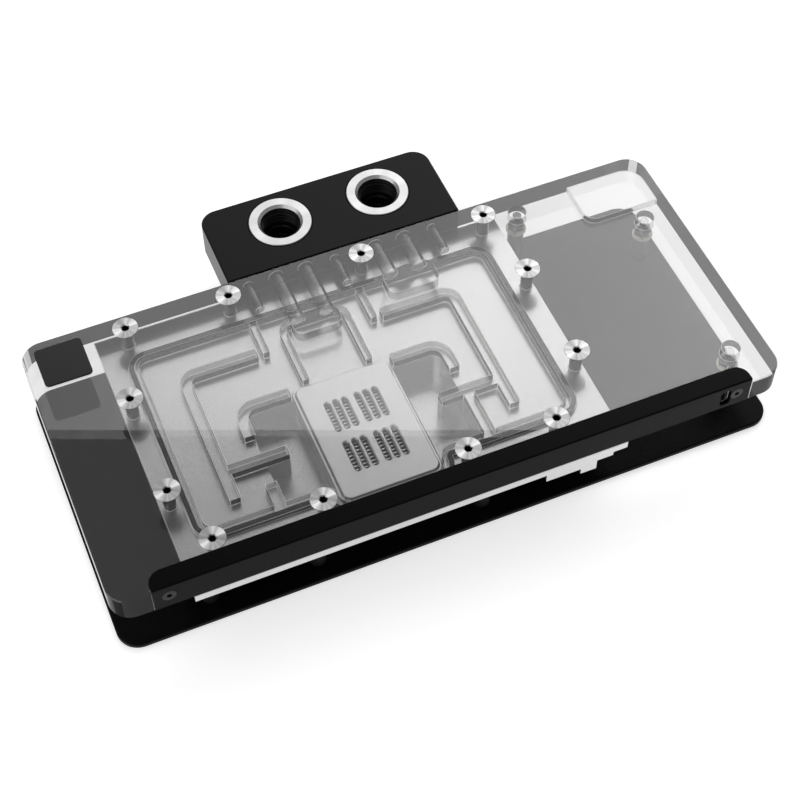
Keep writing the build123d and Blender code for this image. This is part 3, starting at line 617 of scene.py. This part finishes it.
# Half the widths of a turn's foot and crest, as shares of the pitch
half_foot, half_crest = 0.48, 0.08
dress("inlet_face_seal", seal_rubber)
dress("outlet_face_seal", seal_rubber)

# Acetal, milled and lightly blasted: deep black with a soft, waxy sheen
acetal = grained(
    "black_acetal", "#090909", "#0e0e0e", grain=0.4 * mm, relief=0.0003 * mm,
    roughness=(0.24, 0.32), surface={"Specular IOR Level": 0.1},
)
# The ports' plain bores are widened to the thread's root, and the turns stand on it
terminal_shape = merged_copy("terminal")
for corner in terminal_shape.verts:
    for axis in port_axes:
        way = (corner.co - axis).to_2d()
        if abs(way.length - bore_radius) < bore_tolerance:
            wide = way * (thread_root / way.length)
            corner.co.x, corner.co.y = axis.x + wide.x, axis.y + wide.y
terminal = add_piece(
    terminal_shape, "acetal_terminal", slots["terminal"], acetal, edge=acetal_edge
)
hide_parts("terminal")
thread_shape = bmesh.new()
for axis in port_axes:
    foot = thread_root + thread_sink
    corners = [
        thread_shape.verts.new((axis.x + radius, axis.y, thread_start + height * thread_pitch))
        for radius, height in (
            (foot, -half_foot), (thread_crest, -half_crest),
            (thread_crest, half_crest), (foot, half_foot),
        )
    ]
    sides = [thread_shape.edges.new(pair) for pair in zip(corners, corners[1:] + corners[:1])]
    steps = round(thread_turns * thread_steps)
    turns = bmesh.ops.spin(
        thread_shape, geom=corners + sides, axis=(0, 0, 1), cent=axis, steps=steps,
        dvec=(0, 0, thread_pitch / thread_steps), angle=thread_turns * math.tau,
    )
    ends = [part for part in turns["geom_last"] if isinstance(part, bmesh.types.BMEdge)]
    bmesh.ops.contextual_create(thread_shape, geom=sides)
    bmesh.ops.contextual_create(thread_shape, geom=ends)
bmesh.ops.recalc_face_normals(thread_shape, faces=thread_shape.faces)
add_piece(thread_shape, "port_threads", slots["terminal"], acetal)


# Port rings: turned from brass, chromed, and pressed into the terminal round each port.
# A fitting's seal lands on their flat face.
ring_outer = 10.6 * mm
ring_inner = 6.7 * mm
ring_outer_chamfer = 0.2 * mm
ring_inner_chamfer = 0.9 * mm
ring_edge = 0.08 * mm
ring_steps = 96

# Chrome over faced brass: bright and satin, with the faintest rings of the lathe and faint painted
# glints
chrome = turned(
    "satin_chrome", "#b2b2b2", "#c0c0c0", pitch=0.8 * mm, roughness=(0.26, 0.32), anisotropy=0.2
)
for ring_node in ("inlet_ring", "outlet_ring"):
    low, high = (Vector(corner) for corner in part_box(ring_node))
    spot = (low + high) / 2
    spot.z = high.z
    tall = high.z - low.z
    ring_shape = spin_profile([
        (ring_inner, -tall), (ring_outer, -tall), (ring_outer, -ring_outer_chamfer),
        (ring_outer - ring_outer_chamfer, 0), (ring_inner + ring_inner_chamfer, 0),
        (ring_inner, -ring_inner_chamfer), (ring_inner, -tall),
    ], steps=ring_steps)
    bmesh.ops.recalc_face_normals(ring_shape, faces=ring_shape.faces)
    bmesh.ops.translate(ring_shape, verts=ring_shape.verts, vec=spot)
    map_turning(ring_shape, [spot])
    port_ring = add_piece(
        ring_shape, f"chromed_{ring_node}", slots[ring_node], chrome, edge=ring_edge
    )
    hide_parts(ring_node)


# Terminal screws: three cap screws of black oxide steel, sunk in the terminal's back.
# They reach into the cover's back edge and press the terminal on the face seals.
dress("terminal_screws", black_steel)


# Light strip: a narrow white circuit board with small white lamps lies in the groove behind the
# trim, with a plug socket at its right end.

# White solder mask over glass fibre, printed: smooth, with a slight sheen
board_white = grained(
    "solder_mask_white", "#dcdcd6", "#ebebe6", grain=0.4 * mm, relief=0.004 * mm,
    roughness=(0.35, 0.45),
)
# Silicone resin cast over the lamps: warm white and glossy
lamp_white = grained(
    "lamp_resin", "#e6e2c4", "#f3f0d8", grain=0.5 * mm, relief=0.004 * mm,
    roughness=(0.15, 0.25),
)
dress("light_board", board_white)
dress("lamps", lamp_white)
dress("light_socket", black_nylon)


# Front trim: an aluminium angle, milled and anodised black, over the cover's front edge.
# Two small black countersunk screws hold it.
trim_edge = 0.2 * mm
front_trim = add_piece(
    merged_copy("front_trim"), "anodised_trim", slots["front_trim"], anodised, edge=trim_edge
)
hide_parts("front_trim")
dress("trim_screws", black_steel)


# Badge: a small black plate with rounded corners, stuck on the cover's back left corner.
# It is left bare.
badge_edge = 0.12 * mm

# Black enamel on metal, fired: deep black, glossy, with a faint wave
badge_black = grained(
    "gloss_black_enamel", "#101010", "#161616", grain=1.5 * mm, relief=0.001 * mm,
    roughness=(0.16, 0.24), surface={"Specular IOR Level": 0.25},
)
badge = add_piece(merged_copy("badge"), "bare_badge", slots["badge"], badge_black, edge=badge_edge)
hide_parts("badge")


# Studio: a white paper floor that keeps the object's soft shadow, a wide softbox behind, brighter
# at one end, a smaller one at the left, and an even pale room, which shows white to the camera.
floor_size = 6.0
floor_lift = 0.52
room_light = 0.38
# The stretch of a softbox's width over which its light changes from one end's to the other's
fade_from, fade_to = 0.3, 0.7
floor_shape = bmesh.new()
bmesh.ops.create_grid(floor_shape, x_segments=1, y_segments=1, size=floor_size / 2)
floor_mesh = bpy.data.meshes.new("floor")
floor_shape.to_mesh(floor_mesh)
floor_shape.free()
floor = bpy.data.objects.new("floor", floor_mesh)
bpy.context.scene.collection.objects.link(floor)

# White paper, matt. Where it is seen, also in glass and metal, it is lifted to white, and the lift
# lights nothing matt
paper = bpy.data.materials.new("white_paper")
paper.use_nodes = True
paper_tree = paper.node_tree
paper_tree.nodes.clear()
paper_skin = add_node(paper_tree, "ShaderNodeBsdfDiffuse", {"Color": linear("#e9e9e9")})
seen = add_node(paper_tree, "ShaderNodeLightPath")
straight = add_node(
    paper_tree, "ShaderNodeMath",
    links={0: seen.outputs["Is Camera Ray"], 1: seen.outputs["Is Transmission Ray"]},
    operation="MAXIMUM",
)
any_view = add_node(
    paper_tree, "ShaderNodeMath", links={0: straight.outputs[0], 1: seen.outputs["Is Glossy Ray"]},
    operation="MAXIMUM",
)
lift = add_node(
    paper_tree, "ShaderNodeMath", {1: floor_lift}, {0: any_view.outputs[0]}, operation="MULTIPLY"
)
paper_lift = add_node(
    paper_tree, "ShaderNodeEmission", {"Color": linear("#ffffff")}, {"Strength": lift.outputs[0]}
)
paper_sum = add_node(
    paper_tree, "ShaderNodeAddShader", links={0: paper_skin.outputs[0], 1: paper_lift.outputs[0]}
)
add_node(paper_tree, "ShaderNodeOutputMaterial", links={"Surface": paper_sum.outputs[0]})
floor_mesh.materials.append(paper)

# The room: even and pale, white only to the camera
world = bpy.data.worlds.new("studio")
bpy.context.scene.world = world
world.use_nodes = True
sky = world.node_tree
sky.nodes.clear()
sky_rays = add_node(sky, "ShaderNodeLightPath")
sky_strength = add_node(
    sky, "ShaderNodeMapRange", {"To Min": room_light, "To Max": 1.0},
    {"Value": sky_rays.outputs["Is Camera Ray"]},
)
sky_light = add_node(
    sky, "ShaderNodeBackground", {"Color": linear("#ffffff")}, {"Strength": sky_strength.outputs[0]}
)
add_node(sky, "ShaderNodeOutputWorld", links={"Surface": sky_light.outputs[0]})


def softbox(name, azimuth, elevation, distance, width, height, radiance):
    """Hang a softbox that faces the object, azimuth turning from +Y to +X, angles in degrees."""
    lamp = bpy.data.lights.new(name, "AREA")
    lamp.shape = "RECTANGLE"
    lamp.size = width
    lamp.size_y = height
    lamp.energy = math.pi * width * height
    lamp.use_nodes = True
    skin = lamp.node_tree
    skin.nodes.clear()
    place = add_node(skin, "ShaderNodeNewGeometry")
    split = add_node(skin, "ShaderNodeSeparateXYZ", links={"Vector": place.outputs["Parametric"]})
    spread = add_node(
        skin, "ShaderNodeMapRange",
        {
            "From Min": fade_from, "From Max": fade_to,
            "To Min": radiance[0], "To Max": radiance[1],
        },
        {"Value": split.outputs["X"]},
    )
    glow = add_node(skin, "ShaderNodeEmission", links={"Strength": spread.outputs[0]})
    add_node(skin, "ShaderNodeOutputLight", links={"Surface": glow.outputs[0]})
    box = bpy.data.objects.new(name, lamp)
    turn, rise = math.radians(azimuth), math.radians(elevation)
    way = Vector((math.sin(turn) * math.cos(rise), math.cos(turn) * math.cos(rise), math.sin(rise)))
    box.location = distance * way
    box.rotation_euler = (math.pi / 2 - rise, 0, math.pi - turn)
    bpy.context.scene.collection.objects.link(box)


softbox(
    "back_softbox", azimuth=22.8, elevation=40, distance=1.3, width=2.4, height=0.8,
    radiance=(2.5, 0.9),
)
softbox(
    "left_softbox", azimuth=-100, elevation=35, distance=1.2, width=1.3, height=1.3,
    radiance=(0.9, 0.9),
)


# Camera: the photograph's place and angle, worked out from the block's straight edges.
# It looks down from the front left, through a long lens, and has no blur.
camera_place = (-0.12595, -0.31599, 0.45361)
camera_tilt = math.pi / 2 - 0.9423
camera_turn = -0.3977
film_width = 36
focal_length = 76.69
camera_data = bpy.data.cameras.new("camera")
camera_data.sensor_width = film_width
camera_data.lens = focal_length
camera_data.clip_start = 0.01
camera = bpy.data.objects.new("camera", camera_data)
camera.location = camera_place
camera.rotation_euler = (camera_tilt, 0, camera_turn)
bpy.context.scene.collection.objects.link(camera)
bpy.context.scene.camera = camera
bpy.context.scene.view_settings.view_transform = "Standard"
